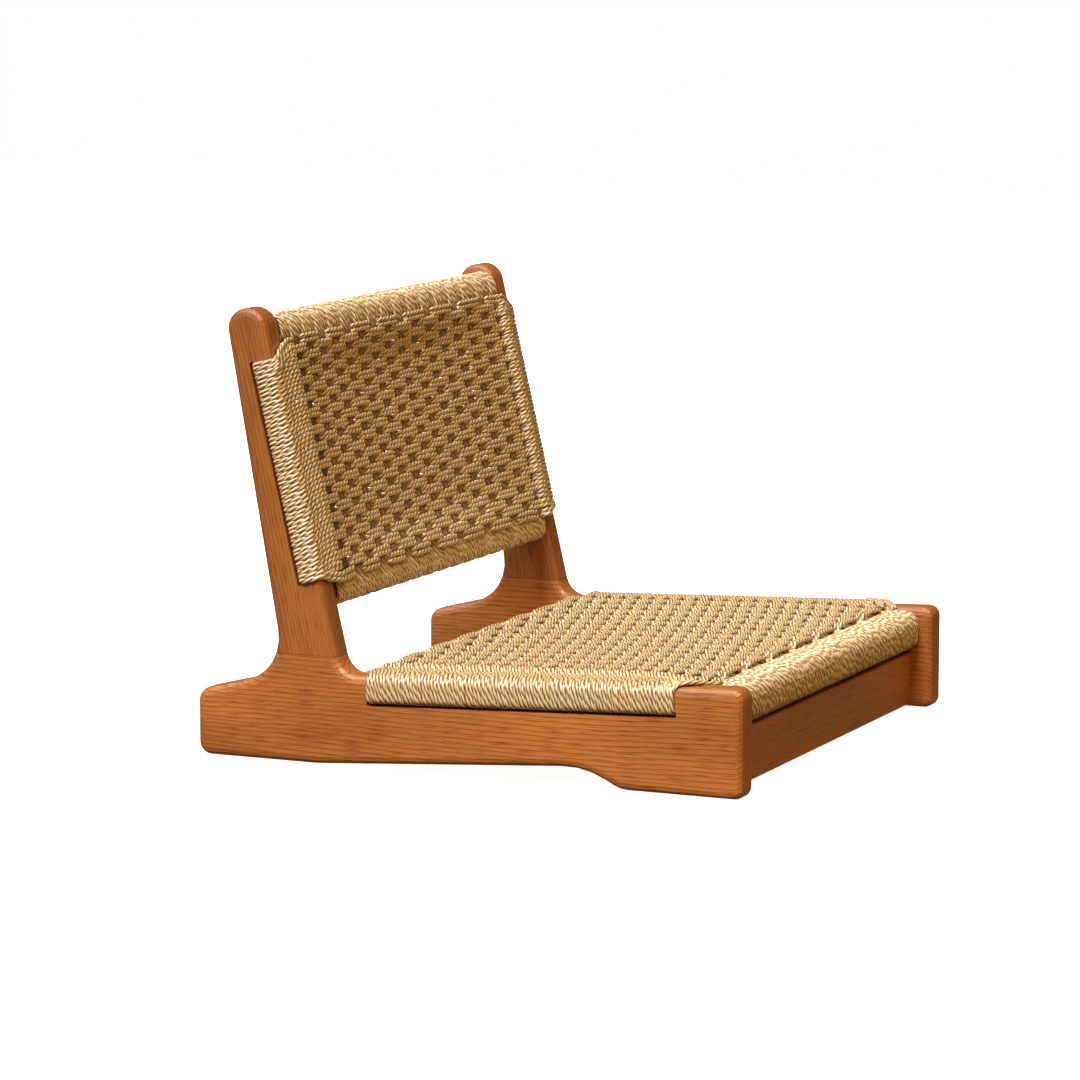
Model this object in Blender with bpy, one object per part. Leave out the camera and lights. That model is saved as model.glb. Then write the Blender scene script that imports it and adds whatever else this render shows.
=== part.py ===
"""Floor chair: two solid wood side frames, five cross members and a paper cord seat and back.

Metres, +Z up. The chair faces -Y, the floor is Z = 0, and the chair is symmetric about X = 0.
The sitter's right is -X.
"""
import math

import bmesh
import bpy
from mathutils import Matrix, Vector

# Overall sizes of the wooden frame
FRAME_WIDTH = 0.480            # over the outer faces of the two side frames
RUNNER_LENGTH = 0.487          # front face to rear face of a runner
FRAME_HEIGHT = 0.375           # floor to the highest point of a post
PLANK = 0.027                  # thickness of runners and posts
EDGE_ROUND = 0.0065            # round-over on the long edges of the planks
FIT = 0.0003                   # clearance between pieces that touch

# Runner
FRONT_HEIGHT = 0.0897          # top of the front block, at the front face
SEAT_TILT = math.radians(2.3)  # the runner's top and its slot rise towards the front
REAR_FOOT_HEIGHT = 0.0546      # top of the rear foot, at the rear face
REAR_FOOT_SLOPE = math.radians(14.2)
SEAM_HEIGHT = 0.0908           # glued butt joint between runner and post
ARCH_REAR = 0.1085             # rear end of the hollow under the runner, from the rear face
ARCH_SLOPE = math.radians(3.9)
FRONT_FOOT_LENGTH = 0.1060     # length of the front foot along the floor
FRONT_FOOT_SLOPE = math.radians(28.0)
ARCH_RADIUS = 0.075
REAR_BOTTOM_RADIUS = 0.011
REAR_TOP_RADIUS = 0.011
FRONT_BOTTOM_RADIUS = 0.008
FRONT_TOP_RADIUS = 0.009
FOOT_HEEL_RADIUS = 0.025
REAR_FILLET = 0.039            # rear foot into post
FRONT_FILLET = 0.0195          # seat bar into post

# Post
POST_REFERENCE_Z = 0.1561      # height at which the next two sizes are taken
REAR_FOOT_LENGTH = 0.0652      # rear face of the runner to the rear edge of the post
POST_WIDTH = 0.0484
BACK_TILT = math.radians(13.4)        # lean of the front edge and of the woven back
POST_REAR_TILT = math.radians(10.1)   # lean of the rear edge, so the post tapers upwards
POST_TOP_FLAT = 0.0021         # left between the two rounded corners of the post's end

# Slots that leave a bar for the cord to go round
SEAT_BAR_HEIGHT = 0.0190
SEAT_SLOT_FRONT = 0.0575       # from the front face to the front end of the slot
SEAT_SLOT_REAR_GAP = 0.0419    # rear end of the slot to the post's front edge
SLOT_WIDTH = 0.0052
SLOT_END_RADIUS = 0.0015
BACK_BAR_DEPTH = 0.0155
BACK_SLOT_LOW = -0.0045        # along the back from the reference height
BACK_SLOT_DROP = 0.0410        # top of the post's front edge down to the slot's upper end

# Cord layers, as plain solids of their outer shape
WRAP_OUTER = 0.0040            # on the outer side of a bar
WRAP_HIDDEN = 0.0036           # through the slot and on the inner side
WRAP_END_GAP = 0.0012          # wrap to slot end
ROLL_LAYER = 0.0045            # round a rail
SEAT_WRAP_TOP = 0.0065         # on top of a seat bar
BACK_WRAP_FRONT = 0.0040       # in front of a back bar
SEAT_WEAVE_RISE = 0.0070       # top of the woven seat over the bars' plane
BACK_WEAVE_RISE = 0.0040       # front of the woven back over the posts' front edges
WEAVE_THICKNESS = 0.0105
WEAVE_LIP = 0.0110             # the weave's edge runs this far onto the rail's roll
SEAT_DISH = 0.0050             # sag of the woven seat in the middle
BACK_DISH = 0.0060             # the same for the woven back
DISH_EDGE = 0.0300             # the sag fades out over this length towards the rolls
SOFT_RADIUS = 0.0015

# Cross members, all between the inner faces of the side frames
FRONT_RAIL_DEPTH = 0.0270
FRONT_RAIL_HEIGHT = 0.0260
FRONT_RAIL_SETBACK = 0.0160    # front face of the runner to the front face of the rail
FRONT_RAIL_TOP = 0.0820
REAR_RAIL_DEPTH = 0.0200
REAR_RAIL_HEIGHT = 0.0200
REAR_RAIL_AFTER_SLOT = 0.0050  # slot's rear end to the rail's front face
REAR_RAIL_TOP = 0.0690
RAIL_RADIUS = 0.0070
APRON_THICKNESS = 0.0180
APRON_SETBACK = 0.0193
APRON_BOTTOM = 0.0025
APRON_TOP = 0.0485
APRON_RADIUS = 0.0025
BACK_RAIL_DEPTH = 0.0150
BACK_RAIL_HEIGHT = 0.0180
BACK_RAIL_RADIUS = 0.0060
BACK_RAIL_INSET = 0.0036       # post front edge to the rail's front face
TOP_RAIL_DROP = 0.0085         # top of the post's front edge down to the top of the rail
BOTTOM_RAIL_LOW = -0.0220      # underside of the bottom rail, along the back

# Dowels
DOWEL_RADIUS = 0.003
RAIL_DOWEL_SPACING = 0.009
APRON_DOWEL_EDGE = 0.010       # apron's edge to the middle of a dowel
DOWEL_LENGTH = 0.032
POST_DOWEL_RADIUS = 0.005
POST_DOWEL_LENGTH = 0.050
POST_DOWEL_SPACING = 0.022
DOWEL_SIDES = 12
HOLE_SPARE = 0.001             # depth left free at a dowel's end

ARC_STEP = math.radians(15)
ROUND_SEGMENTS = 2
DISH_STRIPS = 8                # strips across a woven panel
DISH_EDGE_STRIPS = 3           # strips along each end where the sag fades

# Values worked out from the sizes above
OUTER_X = FRAME_WIDTH / 2
INNER_X = OUTER_X - PLANK
PLANK_X = OUTER_X - PLANK / 2
FRONT_Y = -RUNNER_LENGTH / 2
REAR_Y = RUNNER_LENGTH / 2
MEMBER_LENGTH = 2 * (INNER_X - FIT)
POST_REAR_Y = REAR_Y - REAR_FOOT_LENGTH
POST_FRONT_Y = POST_REAR_Y - POST_WIDTH
SEAT_SLOT_LENGTH = POST_FRONT_Y - SEAT_SLOT_REAR_GAP - FRONT_Y - SEAT_SLOT_FRONT
BACK_LENGTH = (FRAME_HEIGHT - POST_REFERENCE_Z) / math.cos(BACK_TILT)
BACK_SLOT_HIGH = BACK_LENGTH - BACK_SLOT_DROP
TOP_RAIL_HIGH = BACK_LENGTH - TOP_RAIL_DROP
REAR_RAIL_FRONT_Y = FRONT_Y + SEAT_SLOT_FRONT + SEAT_SLOT_LENGTH + REAR_RAIL_AFTER_SLOT
SIDES = (("right", -1), ("left", 1))

parts = None
cutters = None


def clear_scene():
    for old in list(bpy.data.objects):
        bpy.data.objects.remove(old, do_unlink=True)
    for old in list(bpy.data.collections):
        bpy.data.collections.remove(old)


def new_collection(name):
    collection = bpy.data.collections.new(name)
    bpy.context.scene.collection.children.link(collection)
    return collection


def make_material(name, color, roughness):
    material = bpy.data.materials.new(name)
    material.use_nodes = True
    shader = material.node_tree.nodes["Principled BSDF"]
    shader.inputs["Base Color"].default_value = (*color, 1.0)
    shader.inputs["Roughness"].default_value = roughness
    shader.inputs["Metallic"].default_value = 0.0
    material.diffuse_color = (*color, 1.0)
    return material


def seat_plane_z(y):
    """Height of the seat bars' top at y."""
    return FRONT_HEIGHT - (y - FRONT_Y) * math.tan(SEAT_TILT)


def back_point(s, d):
    """(y, z) at s up along the back from the reference height and d behind the posts' front edge."""
    y = POST_FRONT_Y + s * math.sin(BACK_TILT) + d * math.cos(BACK_TILT)
    z = POST_REFERENCE_Z + s * math.cos(BACK_TILT) - d * math.sin(BACK_TILT)
    return y, z


def line_crossing(p, p_angle, q, q_angle):
    """Crossing of two lines in the side view; each goes through a point at an angle from +Y."""
    px, pz = math.cos(p_angle), math.sin(p_angle)
    qx, qz = math.cos(q_angle), math.sin(q_angle)
    t = ((q[0] - p[0]) * qz - (q[1] - p[1]) * qx) / (px * qz - pz * qx)
    return p[0] + t * px, p[1] + t * pz


def rounded_outline(corners):
    """Points of a closed outline whose corners (x, y, radius) are rounded with arcs."""
    points = []
    count = len(corners)
    for index, (x, y, radius) in enumerate(corners):
        here = Vector((x, y))
        before = Vector(corners[index - 1][:2])
        after = Vector(corners[(index + 1) % count][:2])
        to_before = (before - here).normalized()
        to_after = (after - here).normalized()
        turn = math.pi - to_before.angle(to_after)
        if radius <= 0 or turn < 1e-4:
            points.append(here)
            continue
        reach = radius * math.tan(turn / 2)
        start = here + to_before * reach
        centre = here + (to_before + to_after).normalized() * (radius / math.cos(turn / 2))
        steps = max(1, math.ceil(turn / ARC_STEP))
        sign = 1 if to_before.cross(to_after) < 0 else -1
        for step in range(steps + 1):
            spin = Matrix.Rotation(sign * turn * step / steps, 2)
            points.append(centre + spin @ (start - centre))
    return points


def extruded(name, outlines, length, edge_round=0.0):
    """Mesh object of one or more closed outlines in local XY, extruded along local Z."""
    curve = bpy.data.curves.new(name, "CURVE")
    curve.dimensions = "2D"
    curve.fill_mode = "BOTH"
    curve.extrude = length / 2 - edge_round
    curve.resolution_u = 1
    curve.render_resolution_u = 0
    if edge_round:
        curve.bevel_depth = edge_round
        curve.bevel_resolution = ROUND_SEGMENTS
        curve.offset = -edge_round
    for outline in outlines:
        spline = curve.splines.new("POLY")
        spline.points.add(len(outline) - 1)
        for point, (x, y) in zip(spline.points, outline):
            point.co = (x, y, 0.0, 1.0)
        spline.use_cyclic_u = True
    holder = bpy.data.objects.new(name + "_curve", curve)
    bpy.context.scene.collection.objects.link(holder)
    bpy.context.view_layer.update()
    evaluated = holder.evaluated_get(bpy.context.evaluated_depsgraph_get())
    mesh = bpy.data.meshes.new_from_object(evaluated)
    bpy.data.objects.remove(holder, do_unlink=True)
    bm = bmesh.new()
    bm.from_mesh(mesh)
    bmesh.ops.remove_doubles(bm, verts=bm.verts, dist=1e-5)
    bmesh.ops.dissolve_degenerate(bm, edges=bm.edges, dist=1e-6)
    bmesh.ops.recalc_face_normals(bm, faces=bm.faces)
    bm.to_mesh(mesh)
    bm.free()
    mesh.name = name
    return bpy.data.objects.new(name, mesh)


def cylinder(name, radius, length, sides=DOWEL_SIDES):
    """Mesh object of a cylinder along local Z, centred."""
    bm = bmesh.new()
    bmesh.ops.create_cone(bm, cap_ends=True, segments=sides, radius1=radius, radius2=radius,
                          depth=length)
    mesh = bpy.data.meshes.new(name)
    bm.to_mesh(mesh)
    bm.free()
    return bpy.data.objects.new(name, mesh)


def finish_part(piece, material, smooth_angle=35):
    parts.objects.link(piece)
    piece.data.materials.clear()
    piece.data.materials.append(material)
    piece.data.shade_smooth()
    piece.data.set_sharp_from_angle(angle=math.radians(smooth_angle))
    return piece


def finish_cutter(piece):
    cutters.objects.link(piece)
    piece.hide_render = True
    piece.display_type = "WIRE"
    return piece


def cut(piece, cutter):
    modifier = piece.modifiers.new(cutter.name, "BOOLEAN")
    modifier.operation = "DIFFERENCE"
    modifier.solver = "EXACT"
    modifier.object = cutter


def place_side_view(piece, x=0.0):
    """Local X, Y, Z become world Y, Z, X."""
    piece.rotation_euler = (math.pi / 2, 0.0, math.pi / 2)
    piece.location = (x, 0.0, 0.0)


# Side frame outline, in (y, z)

def side_frame_outline():
    """One closed outline of runner and post together; the seam divides it afterwards."""
    arch_rear_y = REAR_Y - ARCH_REAR
    heel_y = FRONT_Y + FRONT_FOOT_LENGTH
    arch_front = line_crossing((arch_rear_y, 0.0), -ARCH_SLOPE, (heel_y, 0.0), FRONT_FOOT_SLOPE)
    post_front = (POST_FRONT_Y, POST_REFERENCE_Z)
    post_rear = (POST_REAR_Y, POST_REFERENCE_Z)
    front_angle = math.pi / 2 - BACK_TILT
    rear_angle = math.pi / 2 - POST_REAR_TILT
    seat_corner = line_crossing((FRONT_Y, FRONT_HEIGHT), -SEAT_TILT, post_front, front_angle)
    rear_corner = line_crossing((REAR_Y, REAR_FOOT_HEIGHT), -REAR_FOOT_SLOPE, post_rear, rear_angle)
    # The post's rounded end: its top line is square to the middle of the post
    middle_tilt = (BACK_TILT + POST_REAR_TILT) / 2
    front_at_top = line_crossing(post_front, front_angle, (0.0, FRAME_HEIGHT), 0.0)
    rear_at_top = line_crossing(post_rear, rear_angle, (0.0, FRAME_HEIGHT), 0.0)
    top_width = (rear_at_top[0] - front_at_top[0]) * math.cos(middle_tilt)
    top_radius = (top_width - POST_TOP_FLAT) / 2
    rise = top_radius * (1 - math.cos(middle_tilt))
    inset = top_radius * math.cos(middle_tilt)
    top_line_point = (front_at_top[0] + inset, FRAME_HEIGHT - rise)
    top_front = line_crossing(post_front, front_angle, top_line_point, -middle_tilt)
    top_rear = line_crossing(post_rear, rear_angle, top_line_point, -middle_tilt)
    return rounded_outline([
        (REAR_Y, 0.0, REAR_BOTTOM_RADIUS),
        (REAR_Y, REAR_FOOT_HEIGHT, REAR_TOP_RADIUS),
        (*rear_corner, REAR_FILLET),
        (*top_rear, top_radius),
        (*top_front, top_radius),
        (*seat_corner, FRONT_FILLET),
        (FRONT_Y, FRONT_HEIGHT, FRONT_TOP_RADIUS),
        (FRONT_Y, 0.0, FRONT_BOTTOM_RADIUS),
        (heel_y, 0.0, FOOT_HEEL_RADIUS),
        (*arch_front, ARCH_RADIUS),
        (arch_rear_y, 0.0, ARCH_RADIUS),
    ])


def seat_slot_outline():
    """Slot below the seat bar, parallel to the runner's top."""
    def at(along, below):
        y = FRONT_Y + along * math.cos(SEAT_TILT) - below * math.sin(SEAT_TILT)
        z = FRONT_HEIGHT - along * math.sin(SEAT_TILT) - below * math.cos(SEAT_TILT)
        return y, z, SLOT_END_RADIUS
    front = SEAT_SLOT_FRONT
    rear = SEAT_SLOT_FRONT + SEAT_SLOT_LENGTH
    high = SEAT_BAR_HEIGHT
    low = SEAT_BAR_HEIGHT + SLOT_WIDTH
    return rounded_outline([at(front, high), at(front, low), at(rear, low), at(rear, high)])


def back_slot_outline():
    """Slot behind the back bar, parallel to the post's front edge."""
    near = BACK_BAR_DEPTH
    far = BACK_BAR_DEPTH + SLOT_WIDTH
    return rounded_outline([(*back_point(s, d), SLOT_END_RADIUS) for s, d in (
        (BACK_SLOT_LOW, near), (BACK_SLOT_LOW, far), (BACK_SLOT_HIGH, far), (BACK_SLOT_HIGH, near))])


# Cross members: name, outline in (y, z), and dowel centres in (y, z)

def rectangle(y_low, y_high, z_low, z_high, radius):
    return [(y_low, z_low, radius), (y_high, z_low, radius), (y_high, z_high, radius),
            (y_low, z_high, radius)]


def back_rectangle(s_low, s_high, d_near, d_far, radius):
    return [(*back_point(s, d), radius) for s, d in (
        (s_low, d_near), (s_low, d_far), (s_high, d_far), (s_high, d_near))]


def member_sections():
    """For each cross member, a function for its section's corners, grown by a layer, and its dowels.

    The dowels' centres lie on the section's longer middle line, one each side of its centre.
    """
    front_y = FRONT_Y + FRONT_RAIL_SETBACK
    front_low = FRONT_RAIL_TOP - FRONT_RAIL_HEIGHT
    rear_low = REAR_RAIL_TOP - REAR_RAIL_HEIGHT
    apron_y = FRONT_Y + APRON_SETBACK
    apron_dowel = (APRON_TOP - APRON_BOTTOM) / 2 - APRON_DOWEL_EDGE

    def level(y_low, y_high, z_low, z_high, radius):
        return lambda grow: rectangle(y_low - grow, y_high + grow, z_low - grow, z_high + grow,
                                      radius + grow)

    def leaning(s_low):
        return lambda grow: back_rectangle(s_low - grow, s_low + BACK_RAIL_HEIGHT + grow,
                                           BACK_RAIL_INSET - grow,
                                           BACK_RAIL_INSET + BACK_RAIL_DEPTH + grow,
                                           BACK_RAIL_RADIUS + grow)

    def level_dowels(y, z, y_offset, z_offset):
        return [(y - y_offset, z - z_offset), (y + y_offset, z + z_offset)]

    def leaning_dowels(s_low):
        middle = BACK_RAIL_INSET + BACK_RAIL_DEPTH / 2
        centre = s_low + BACK_RAIL_HEIGHT / 2
        return [back_point(centre - RAIL_DOWEL_SPACING / 2, middle),
                back_point(centre + RAIL_DOWEL_SPACING / 2, middle)]

    top_low = TOP_RAIL_HIGH - BACK_RAIL_HEIGHT
    return {
        "front_seat_rail": (
            level(front_y, front_y + FRONT_RAIL_DEPTH, front_low, FRONT_RAIL_TOP, RAIL_RADIUS),
            level_dowels(front_y + FRONT_RAIL_DEPTH / 2, (front_low + FRONT_RAIL_TOP) / 2,
                         RAIL_DOWEL_SPACING / 2, 0.0)),
        "rear_seat_rail": (
            level(REAR_RAIL_FRONT_Y, REAR_RAIL_FRONT_Y + REAR_RAIL_DEPTH, rear_low, REAR_RAIL_TOP,
                  RAIL_RADIUS),
            level_dowels(REAR_RAIL_FRONT_Y + REAR_RAIL_DEPTH / 2, (rear_low + REAR_RAIL_TOP) / 2,
                         RAIL_DOWEL_SPACING / 2, 0.0)),
        "front_apron": (
            level(apron_y, apron_y + APRON_THICKNESS, APRON_BOTTOM, APRON_TOP, APRON_RADIUS),
            level_dowels(apron_y + APRON_THICKNESS / 2, (APRON_BOTTOM + APRON_TOP) / 2,
                         0.0, apron_dowel)),
        "back_top_rail": (leaning(top_low), leaning_dowels(top_low)),
        "back_bottom_rail": (leaning(BOTTOM_RAIL_LOW), leaning_dowels(BOTTOM_RAIL_LOW)),
    }


def build_members(wood):
    """The five cross members."""
    for name, (section, _) in member_sections().items():
        member = extruded(name, [rounded_outline(section(0.0))], MEMBER_LENGTH)
        place_side_view(member)
        finish_part(member, wood)


def box_cutter(name, z_low, z_high):
    outline = [(FRONT_Y * 2, z_low), (REAR_Y * 2, z_low), (REAR_Y * 2, z_high), (FRONT_Y * 2, z_high)]
    box = extruded(name, [outline], 2 * FRAME_WIDTH)
    place_side_view(box)
    return finish_cutter(box)


def build_side_frames(wood):
    """Runner and post of each side, divided at the seam and slotted for the cord."""
    slot_length = 2 * FRAME_WIDTH
    seat_slot = finish_cutter(extruded("seat_slot", [seat_slot_outline()], slot_length))
    back_slot = finish_cutter(extruded("back_slot", [back_slot_outline()], slot_length))
    place_side_view(seat_slot)
    place_side_view(back_slot)
    above = box_cutter("above_seam", SEAM_HEIGHT - FIT / 2, 2 * FRAME_HEIGHT)
    below = box_cutter("below_seam", -FRAME_HEIGHT, SEAM_HEIGHT + FIT / 2)
    for side, sign in SIDES:
        for name, seam_cutter, slot in ((f"{side}_runner", above, seat_slot),
                                        (f"{side}_back_post", below, back_slot)):
            plank = extruded(name, [side_frame_outline()], PLANK, EDGE_ROUND)
            place_side_view(plank, sign * PLANK_X)
            finish_part(plank, wood)
            cut(plank, seam_cutter)
            cut(plank, slot)


# Dowels, each in a hole of its own through the joint that it crosses

def add_dowel(name, radius, length, location, rotation, neighbours, wood):
    dowel = cylinder(name, radius, length)
    hole = cylinder(name + "_hole", radius + FIT, length + 2 * HOLE_SPARE)
    for piece in (dowel, hole):
        piece.location = location
        piece.rotation_euler = rotation
    finish_part(dowel, wood)
    finish_cutter(hole)
    for neighbour in neighbours:
        cut(parts.objects[neighbour], hole)


def build_dowels(wood):
    across = (0.0, math.pi / 2, 0.0)
    upright = (0.0, 0.0, 0.0)
    front = POST_FRONT_Y + (SEAM_HEIGHT - POST_REFERENCE_Z) * math.tan(BACK_TILT)
    rear = POST_REAR_Y + (SEAM_HEIGHT - POST_REFERENCE_Z) * math.tan(POST_REAR_TILT)
    post_middle = (front + rear) / 2
    for side, sign in SIDES:
        for member, (_, centres) in member_sections().items():
            plank = f"{side}_back_post" if member.startswith("back") else f"{side}_runner"
            for number, (y, z) in enumerate(centres, 1):
                add_dowel(f"{member}_{side}_dowel_{number}", DOWEL_RADIUS, DOWEL_LENGTH,
                          (sign * INNER_X, y, z), across, (member, plank), wood)
        for number, offset in enumerate((-POST_DOWEL_SPACING / 2, POST_DOWEL_SPACING / 2), 1):
            add_dowel(f"{side}_post_dowel_{number}", POST_DOWEL_RADIUS, POST_DOWEL_LENGTH,
                      (sign * PLANK_X, post_middle + offset, SEAM_HEIGHT), upright,
                      (f"{side}_runner", f"{side}_back_post"), wood)


# Cord solids

def sleeve(name, length, bar_depth, face_layer, sign):
    """Ring round a bar: local X outwards from the chair, local Y from the wrapped face inwards."""
    inner = [(-FIT, -FIT, EDGE_ROUND), (PLANK + FIT, -FIT, EDGE_ROUND),
             (PLANK + FIT, bar_depth + FIT, 0.0), (-FIT, bar_depth + FIT, 0.0)]
    outer = [(-WRAP_HIDDEN, -face_layer, EDGE_ROUND),
             (PLANK + WRAP_OUTER, -face_layer, EDGE_ROUND + WRAP_OUTER),
             (PLANK + WRAP_OUTER, bar_depth + WRAP_HIDDEN, WRAP_HIDDEN),
             (-WRAP_HIDDEN, bar_depth + WRAP_HIDDEN, WRAP_HIDDEN)]
    outlines = []
    for corners in (outer, inner):
        outlines.append([(sign * (INNER_X + x), y) for x, y in rounded_outline(corners)])
    return extruded(name, outlines, length)


def build_wraps(cord):
    """Cord round the two seat bars and the two back bars."""
    seat_low = SEAT_SLOT_FRONT + WRAP_END_GAP
    seat_high = SEAT_SLOT_FRONT + SEAT_SLOT_LENGTH - WRAP_END_GAP
    seat_middle = (seat_low + seat_high) / 2
    back_low = BOTTOM_RAIL_LOW + BACK_RAIL_HEIGHT + ROLL_LAYER + FIT
    back_high = BACK_SLOT_HIGH - WRAP_END_GAP
    for side, sign in SIDES:
        wrap = sleeve(f"seat_{side}_wrap", seat_high - seat_low, SEAT_BAR_HEIGHT, SEAT_WRAP_TOP, sign)
        wrap.location = (0.0, FRONT_Y + seat_middle * math.cos(SEAT_TILT),
                         FRONT_HEIGHT - seat_middle * math.sin(SEAT_TILT))
        wrap.rotation_euler = (-math.pi / 2 - SEAT_TILT, 0.0, 0.0)
        finish_part(wrap, cord, 60)
        wrap = sleeve(f"back_{side}_wrap", back_high - back_low, BACK_BAR_DEPTH, BACK_WRAP_FRONT, sign)
        wrap.location = (0.0, *back_point((back_low + back_high) / 2, 0.0))
        wrap.rotation_euler = (-BACK_TILT, 0.0, 0.0)
        finish_part(wrap, cord, 60)


def build_rolls(cord):
    """Cord round the four rails."""
    sections = member_sections()
    for name, member in (("seat_front_roll", "front_seat_rail"), ("seat_rear_roll", "rear_seat_rail"),
                         ("back_top_roll", "back_top_rail"), ("back_bottom_roll", "back_bottom_rail")):
        section = sections[member][0]
        outlines = [rounded_outline(section(ROLL_LAYER)), rounded_outline(section(FIT))]
        roll = extruded(name, outlines, MEMBER_LENGTH)
        place_side_view(roll)
        finish_part(roll, cord, 60)


def dish_panel(panel, depth, origin, angle, out, low, high, half_width):
    """Sag a flat panel away from the sitter, most in its middle and not at its edges.

    Local X and Y are world Y and Z, and local Z is world X. The panel runs from low to high along
    the direction at an angle from +Y, measured from the origin; out is the side of the sitter.
    """
    along = Vector((math.cos(angle), math.sin(angle), 0.0))
    start = Vector((*origin, 0.0))

    def smooth(t):
        t = min(1.0, max(0.0, t))
        return t * t * (3 - 2 * t)

    bm = bmesh.new()
    bm.from_mesh(panel.data)
    cuts = [(Vector((0.0, 0.0, half_width * (2 * strip / DISH_STRIPS - 1))), Vector((0.0, 0.0, 1.0)))
            for strip in range(1, DISH_STRIPS)]
    for strip in range(DISH_EDGE_STRIPS + 1):
        inset = DISH_EDGE * strip / DISH_EDGE_STRIPS
        cuts.append((start + along * (low + inset), along))
        cuts.append((start + along * (high - inset), along))
    for point, normal in cuts:
        bmesh.ops.bisect_plane(bm, geom=bm.verts[:] + bm.edges[:] + bm.faces[:], dist=1e-6,
                               plane_co=point, plane_no=normal)
    for vert in bm.verts:
        place = (vert.co - start).dot(along)
        fade = smooth((place - low) / DISH_EDGE) * smooth((high - place) / DISH_EDGE)
        vert.co -= out * (depth * fade * (1 - (vert.co.z / half_width) ** 2))
    bmesh.ops.triangulate(bm, faces=bm.faces)
    bm.to_mesh(panel.data)
    bm.free()


def build_weaves(cord):
    """The two woven panels; a lip at each end runs onto the roll beside it."""
    width = 2 * (INNER_X - WRAP_HIDDEN - FIT)
    front_y = FRONT_Y + FRONT_RAIL_SETBACK + FRONT_RAIL_DEPTH + ROLL_LAYER + FIT
    rear_y = REAR_RAIL_FRONT_Y - ROLL_LAYER - FIT
    front_roll = FRONT_RAIL_TOP + ROLL_LAYER + FIT
    rear_roll = REAR_RAIL_TOP + ROLL_LAYER + FIT
    under = SEAT_WEAVE_RISE - WEAVE_THICKNESS
    seat = extruded("seat_weave", [rounded_outline([
        (front_y, seat_plane_z(front_y) + under, 0.0),
        (rear_y, seat_plane_z(rear_y) + under, 0.0),
        (rear_y, rear_roll, 0.0),
        (rear_y + WEAVE_LIP, rear_roll, 0.0),
        (rear_y, seat_plane_z(rear_y) + SEAT_WEAVE_RISE, SOFT_RADIUS),
        (front_y, seat_plane_z(front_y) + SEAT_WEAVE_RISE, SOFT_RADIUS),
        (front_y - WEAVE_LIP, front_roll, 0.0),
        (front_y, front_roll, 0.0)])], width)
    dish_panel(seat, SEAT_DISH, (0.0, seat_plane_z(0.0)), -SEAT_TILT,
               Vector((math.sin(SEAT_TILT), math.cos(SEAT_TILT), 0.0)),
               front_y / math.cos(SEAT_TILT), rear_y / math.cos(SEAT_TILT), width / 2)
    place_side_view(seat)
    finish_part(seat, cord, 60)

    low = BOTTOM_RAIL_LOW + BACK_RAIL_HEIGHT + ROLL_LAYER + FIT
    high = TOP_RAIL_HIGH - BACK_RAIL_HEIGHT - ROLL_LAYER - FIT
    roll_front = BACK_RAIL_INSET - ROLL_LAYER - FIT
    behind = WEAVE_THICKNESS - BACK_WEAVE_RISE
    back = extruded("back_weave", [rounded_outline([
        (*back_point(low, behind), 0.0), (*back_point(high, behind), 0.0),
        (*back_point(high, roll_front), 0.0), (*back_point(high + WEAVE_LIP, roll_front), 0.0),
        (*back_point(high, -BACK_WEAVE_RISE), SOFT_RADIUS),
        (*back_point(low, -BACK_WEAVE_RISE), SOFT_RADIUS),
        (*back_point(low - WEAVE_LIP, roll_front), 0.0), (*back_point(low, roll_front), 0.0)])],
        width)
    dish_panel(back, BACK_DISH, (POST_FRONT_Y, POST_REFERENCE_Z), math.pi / 2 - BACK_TILT,
               Vector((-math.cos(BACK_TILT), math.sin(BACK_TILT), 0.0)), low, high, width / 2)
    place_side_view(back)
    finish_part(back, cord, 60)


def main():
    global parts, cutters
    clear_scene()
    parts = new_collection("floor_chair")
    cutters = new_collection("floor_chair_cutters")
    wood = make_material("oiled_wood", (0.50, 0.23, 0.08), 0.38)
    cord = make_material("paper_cord", (0.66, 0.48, 0.27), 0.75)
    build_members(wood)
    build_side_frames(wood)
    build_dowels(wood)
    build_wraps(cord)
    build_rolls(cord)
    build_weaves(cord)
    bpy.context.view_layer.update()


main()
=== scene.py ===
import math

import bpy
import numpy as np
from mathutils import Matrix, Vector


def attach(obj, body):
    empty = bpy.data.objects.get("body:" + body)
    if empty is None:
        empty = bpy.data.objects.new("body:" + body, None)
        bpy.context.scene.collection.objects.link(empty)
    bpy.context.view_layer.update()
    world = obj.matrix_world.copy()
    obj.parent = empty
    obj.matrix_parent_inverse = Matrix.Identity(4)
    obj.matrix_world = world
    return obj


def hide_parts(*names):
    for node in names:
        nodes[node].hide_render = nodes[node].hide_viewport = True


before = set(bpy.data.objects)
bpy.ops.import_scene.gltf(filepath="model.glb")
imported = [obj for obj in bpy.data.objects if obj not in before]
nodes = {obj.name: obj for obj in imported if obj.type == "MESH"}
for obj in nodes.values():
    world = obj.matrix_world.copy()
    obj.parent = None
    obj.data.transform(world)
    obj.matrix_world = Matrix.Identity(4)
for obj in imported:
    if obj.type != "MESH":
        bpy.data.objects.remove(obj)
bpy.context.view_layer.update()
rng = np.random.default_rng(7)

# Wooden frame, repeated from the solids
OUTER_X = 0.240
INNER_X = 0.213
WEAVE_HALF_WIDTH = 0.2091
FRONT_Y = -0.2435
FRONT_HEIGHT = 0.0897
SEAT_TILT = math.radians(2.3)
BACK_TILT = math.radians(13.4)
POST_FRONT_Y = 0.1299
POST_REFERENCE_Z = 0.1561
SEAT_BAR_HEIGHT = 0.0190
BACK_BAR_DEPTH = 0.0155
PLANK_ROUND = 0.0065
DISH_EDGE = 0.0300

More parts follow.
